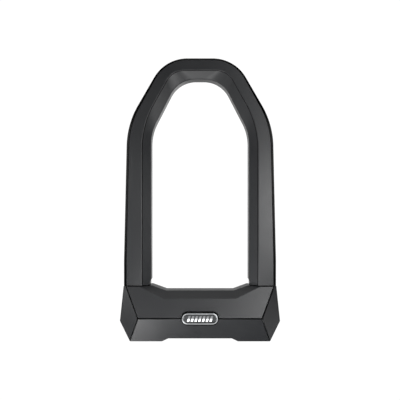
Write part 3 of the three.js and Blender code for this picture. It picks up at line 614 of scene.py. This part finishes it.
def make_strip():
    inner_y = under_flat(STRIP_THICK)
    end_y = inner_y + bevel_rise(BEVEL_RUN - STRIP_THICK)
    shape = bmesh.new()
    skin = add_loft(shape, both_sides([
        (u_line(inset_line(OUTER, STRIP_THICK)), level(inner_y), 0),
        (u_line(inset_line(OUTER, BEVEL_RUN)), level(end_y), 0),
        (u_line(inset_line(OUTER, BEVEL_RUN)), level(FRONT_Y), STRIP_ROUNDS["front"]),
        (u_line(inset_line(OUTER, -STRIP_CROWN)), level(OUTER_FLAT_Y), STRIP_ROUNDS["outer"]),
    ]))
    close_ends(shape, skin)
    weigh_normals(add_piece("shackle_edge", shape, "shackle_edge_strip", "shackle"))


make_jacket()
make_strip()


# ---------- crossbar covers ----------
HEART = Vector((0, 0, 24.4))
RIDGE_END = Vector((60.9, 26, 24.4))
SHOULDER = Vector((73.7, 15.5, 54.2))
FOOT_CORNER = Vector((69.9, 17, 0))
SEAM_REACH = 1.15
SMALL_EDGE = 0.3
UPPER_FLANK_RADIUS = 6.0
LOWER_FLANK_RADIUS = 2.4
FLANK_LEAN = {"side": 0.5, "flat": 0.05, "lower": -0.3}
EDGE_CUTS = 5
BEVEL_CUTS = 3
WELD = 0.002
FLAT_TURN = math.radians(0.6)
SHORT_EDGE = 0.7
FOOT_TIP = 0.7
TIP_CLOSE = 0.22
SHARP_TURN = math.radians(24)


def mirrored(point, side, front):
    return Vector((point.x * side, point.y * front, point.z))


def seam_lines():
    """The ridge and the edges of the diamond facets, front and back, where two covers meet."""
    lines = []
    for front in (1, -1):
        lines.append((mirrored(RIDGE_END, -1, front), mirrored(RIDGE_END, 1, front)))
        for side in (1, -1):
            corner = mirrored(RIDGE_END, side, front)
            lines.append((corner, mirrored(SHOULDER, side, front)))
            lines.append((corner, mirrored(FOOT_CORNER, side, front)))
    return lines


SEAMS = seam_lines()


def distance_to_line(point, start, end):
    along = end - start
    share = max(0.0, min(1.0, (point - start).dot(along) / along.length_squared))
    return (point - start - along * share).length


def in_seam(face):
    """Whether the whole face lies close to one seam, and so is a wall of it."""
    corners = [vertex.co for vertex in face.verts]
    return any(all(distance_to_line(corner, *line) < SEAM_REACH for corner in corners) for line in SEAMS)


def faces_out(face):
    return (face.calc_center_median() - HEART).dot(face.normal) > 0


def is_flank_edge(edge):
    """Between a diamond facet and the flat flank behind it, on the outside."""
    lean = sorted(abs(face.normal.y) for face in edge.link_faces)
    side = FLANK_LEAN["side"]
    outer = all(faces_out(face) and abs(face.normal.x) > side for face in edge.link_faces)
    return len(edge.link_faces) == 2 and outer and lean[0] < FLANK_LEAN["flat"] and lean[1] > side


def cad_shape(node_name):
    """The node's mesh in millimetres, with its flat faces whole again."""
    shape = bmesh.new()
    shape.from_mesh(NODES[node_name].data)
    for vertex in shape.verts:
        vertex.co /= MM
    bmesh.ops.remove_doubles(shape, verts=shape.verts, dist=WELD)
    bmesh.ops.dissolve_limit(shape, angle_limit=FLAT_TURN, verts=shape.verts, edges=shape.edges)
    shape.normal_update()
    return shape


def round_edge(shape, point, first, second, radius):
    """Rounds an outer edge by cutting it back with planes that all touch one round bar."""
    inward = (first + second).normalized() * (radius / math.cos(first.angle(second) / 2))
    for step in range(EDGE_CUTS):
        normal = first.slerp(second, (step + 0.5) / EDGE_CUTS)
        geometry = [*shape.verts, *shape.edges, *shape.faces]
        place = point - inward + normal * radius
        cut = bmesh.ops.bisect_plane(shape, geom=geometry, plane_co=place, plane_no=normal, clear_outer=True)
        edges = [piece for piece in cut["geom_cut"] if isinstance(piece, bmesh.types.BMEdge)]
        bmesh.ops.contextual_create(shape, geom=edges)


def edge_radius(edge):
    first, second = (face.normal for face in edge.link_faces)
    if is_flank_edge(edge):
        upper = min(first.z, second.z) > FLANK_LEAN["lower"]
        return UPPER_FLANK_RADIUS if upper else LOWER_FLANK_RADIUS
    return SMALL_EDGE / math.tan(first.angle(second) / 2)


def is_outer_corner(edge, seams):
    if len(edge.link_faces) != 2 or edge.calc_length() < SHORT_EDGE or seams.issuperset(edge.link_faces):
        return False
    return edge.calc_face_angle(0) > SHARP_TURN and all(faces_out(face) for face in edge.link_faces)


def mark_seams(shape):
    """Gives the walls of the seams the second material, a near-black painted shade, and gives them back."""
    seams = {face for face in shape.faces if in_seam(face)}
    for face in seams:
        face.material_index = 1
    return seams


def rounded_cap(name, node_name, body):
    """A copy of an end cap, which bulges outwards everywhere, with each outer edge cut round."""
    shape = cad_shape(node_name)
    seams = mark_seams(shape)
    edges = []
    for edge in shape.edges:
        if is_outer_corner(edge, seams):
            first, second = (face.normal.copy() for face in edge.link_faces)
            edges.append((edge.verts[0].co.copy(), first, second, edge_radius(edge)))
    for vertex in shape.verts:
        if vertex.co.z < FOOT_TIP:
            vertex.co.x -= math.copysign(TIP_CLOSE, vertex.co.x)
    for edge in edges:
        round_edge(shape, *edge)
    piece = add_piece(name, shape, node_name, body)
    piece.data.materials.append(SEAM_SHADE)
    weigh_normals(piece)


def softened_copy(name, node_name, body):
    """A copy of a CAD node with its outward edges rounded, except between the walls of a seam, which are
    painted dark as shade.
    """
    shape = cad_shape(node_name)
    seams = mark_seams(shape)
    weight = shape.edges.layers.float.new("bevel_weight_edge")
    for edge in shape.edges:
        turned = len(edge.link_faces) == 2 and edge.is_convex and edge.calc_face_angle(0) > SHARP_TURN
        if turned and not seams.issuperset(edge.link_faces):
            edge[weight] = 1.0
    piece = add_piece(name, shape, node_name, body)
    piece.data.materials.append(SEAM_SHADE)
    bevel = piece.modifiers.new("soft_edges", "BEVEL")
    bevel.width = SMALL_EDGE * MM
    bevel.segments = BEVEL_CUTS
    bevel.limit_method = "WEIGHT"
    bevel.use_clamp_overlap = False
    bevel.miter_outer = "MITER_ARC"
    weigh_normals(piece)


softened_copy("cover_upper", "upper_cover", "crossbar")
softened_copy("cover_lower", "lower_cover", "crossbar")
rounded_cap("cap_left", "left_end_cap", "crossbar")
rounded_cap("cap_right", "right_end_cap", "crossbar")
softened_copy("keyhole_slide", "keyhole_cover", "dust_cover")


# ---------- badge ----------
BADGE_Z = 24.4
BADGE_SIZE = (35.0, 10.6)
RING_SIZE = (37.2, 12.8)
BADGE_STEPS = 28
RIM = {"middle": (0.45, -26.5), "radii": (0.85, 0.5), "steps": 12, "back": -24.0, "inside": (1.3, -24.8)}
LIP = {"middle": (0.4, -26.1), "radii": (0.4, 0.3), "steps": 8, "back": -24.2, "wide": 0.8}
FIELD_Y = -26.4
FIELD = {"inset": 1.6, "back": -25.1, "chamfer": 0.1}
BADGE_SHARP = 60
MARK_SHARP = 30
# the slope from a mark's crest to its upper edge, by its place among the mark's faces; it is painted in shade
# with the darker copy of the marks' metal
UPPER_SLOPE = 4
MARK_SINK = {"back": 0.1, "edge": 0.05}
MARKS = {"count": 7, "wide": 2.0, "tall": 5.4, "lean": 1.5, "pitch": 3.65, "proud": 0.35, "crest": 1.0}


def stadium(size, inset, y):
    """A flat loop with round ends, in a plane of constant Y."""
    radius = size[1] / 2 - inset
    straight = size[0] / 2 - size[1] / 2
    points = []
    for side in (1, -1):
        for step in range(BADGE_STEPS + 1):
            angle = math.pi * (step / BADGE_STEPS - 0.5) + (0 if side > 0 else math.pi)
            x = side * straight + radius * math.cos(angle)
            points.append(Vector((x, y, BADGE_Z + radius * math.sin(angle))))
    return points


def add_rings(shape, size, profile, solid=True):
    """Joins loops of one outline along a profile: closed at both ends, or turned back into a ring."""
    rings = [[shape.verts.new(point) for point in stadium(size, inset, y)] for inset, y in profile]
    pairs = list(zip(rings, rings[1:]))
    if not solid:
        pairs.append((rings[-1], rings[0]))
    for low, high in pairs:
        for index in range(len(low)):
            ahead = (index + 1) % len(low)
            shape.faces.new((low[index], low[ahead], high[ahead], high[index]))
    if solid:
        shape.faces.new(rings[0])
        shape.faces.new(list(reversed(rings[-1])))


def arc_profile(facts):
    """Half an oval that bulges to the front, as pairs of inset and Y."""
    inset, y = facts["middle"]
    across, proud = facts["radii"]
    points = []
    for step in range(facts["steps"] + 1):
        angle = math.radians(180 * step / facts["steps"])
        points.append((inset - across * math.cos(angle), y - proud * math.sin(angle)))
    return points


def make_badge_plate():
    shape = bmesh.new()
    side = [(0.0, RIM["back"]), (0.0, RIM["middle"][1])]
    add_rings(shape, BADGE_SIZE, [*side, *arc_profile(RIM), RIM["inside"]])
    add_piece("badge_rim", shape, "badge_plate", "crossbar", BADGE_SHARP)


def make_badge_ring():
    shape = bmesh.new()
    profile = [(0.0, LIP["back"]), *arc_profile(LIP), (LIP["wide"], LIP["back"])]
    add_rings(shape, RING_SIZE, profile, solid=False)
    add_piece("badge_surround", shape, "badge_ring", "crossbar", BADGE_SHARP)


def add_mark(shape, centre_x):
    """One plain raised bar that leans a little, with a slope from its lower edge and one from its crest. It
    is painted lit, and its upper slope painted in shade.
    """
    back = FIELD_Y + MARK_SINK["back"]
    edge = FIELD_Y - MARK_SINK["edge"]
    crest = FIELD_Y - MARKS["proud"]
    profile = ((-1, back), (-1, edge), (MARKS["crest"] - 1, crest), (1, edge), (1, back))
    sides = []
    for side in (-1, 1):
        loop = []
        for up, y in profile:
            x = centre_x + side * MARKS["wide"] / 2 + up * MARKS["lean"] / 2
            loop.append(shape.verts.new((x, y, BADGE_Z + up * MARKS["tall"] / 2)))
        sides.append(loop)
    left, right = sides
    faces = [shape.faces.new(left), shape.faces.new(list(reversed(right)))]
    for index in range(len(profile)):
        ahead = (index + 1) % len(profile)
        faces.append(shape.faces.new((left[ahead], left[index], right[index], right[ahead])))
    for face in faces:
        face.material_index = 1
    # painted shade on the upper slope, painted highlight on the rest of the mark
    faces[UPPER_SLOPE].material_index = 2


def make_badge_field():
    shape = bmesh.new()
    inset, chamfer = FIELD["inset"], FIELD["chamfer"]
    profile = [(inset, FIELD["back"]), (inset, FIELD_Y + chamfer), (inset + chamfer, FIELD_Y)]
    add_rings(shape, BADGE_SIZE, profile)
    for mark in range(MARKS["count"]):
        add_mark(shape, (mark - (MARKS["count"] - 1) / 2) * MARKS["pitch"])
    piece = add_piece("badge_centre", shape, "badge_field", "crossbar", MARK_SHARP)
    piece.data.materials.append(MARKS_PAINTED_LIT)
    piece.data.materials.append(MARKS_PAINTED_SHADE)


make_badge_plate()
make_badge_ring()
make_badge_field()
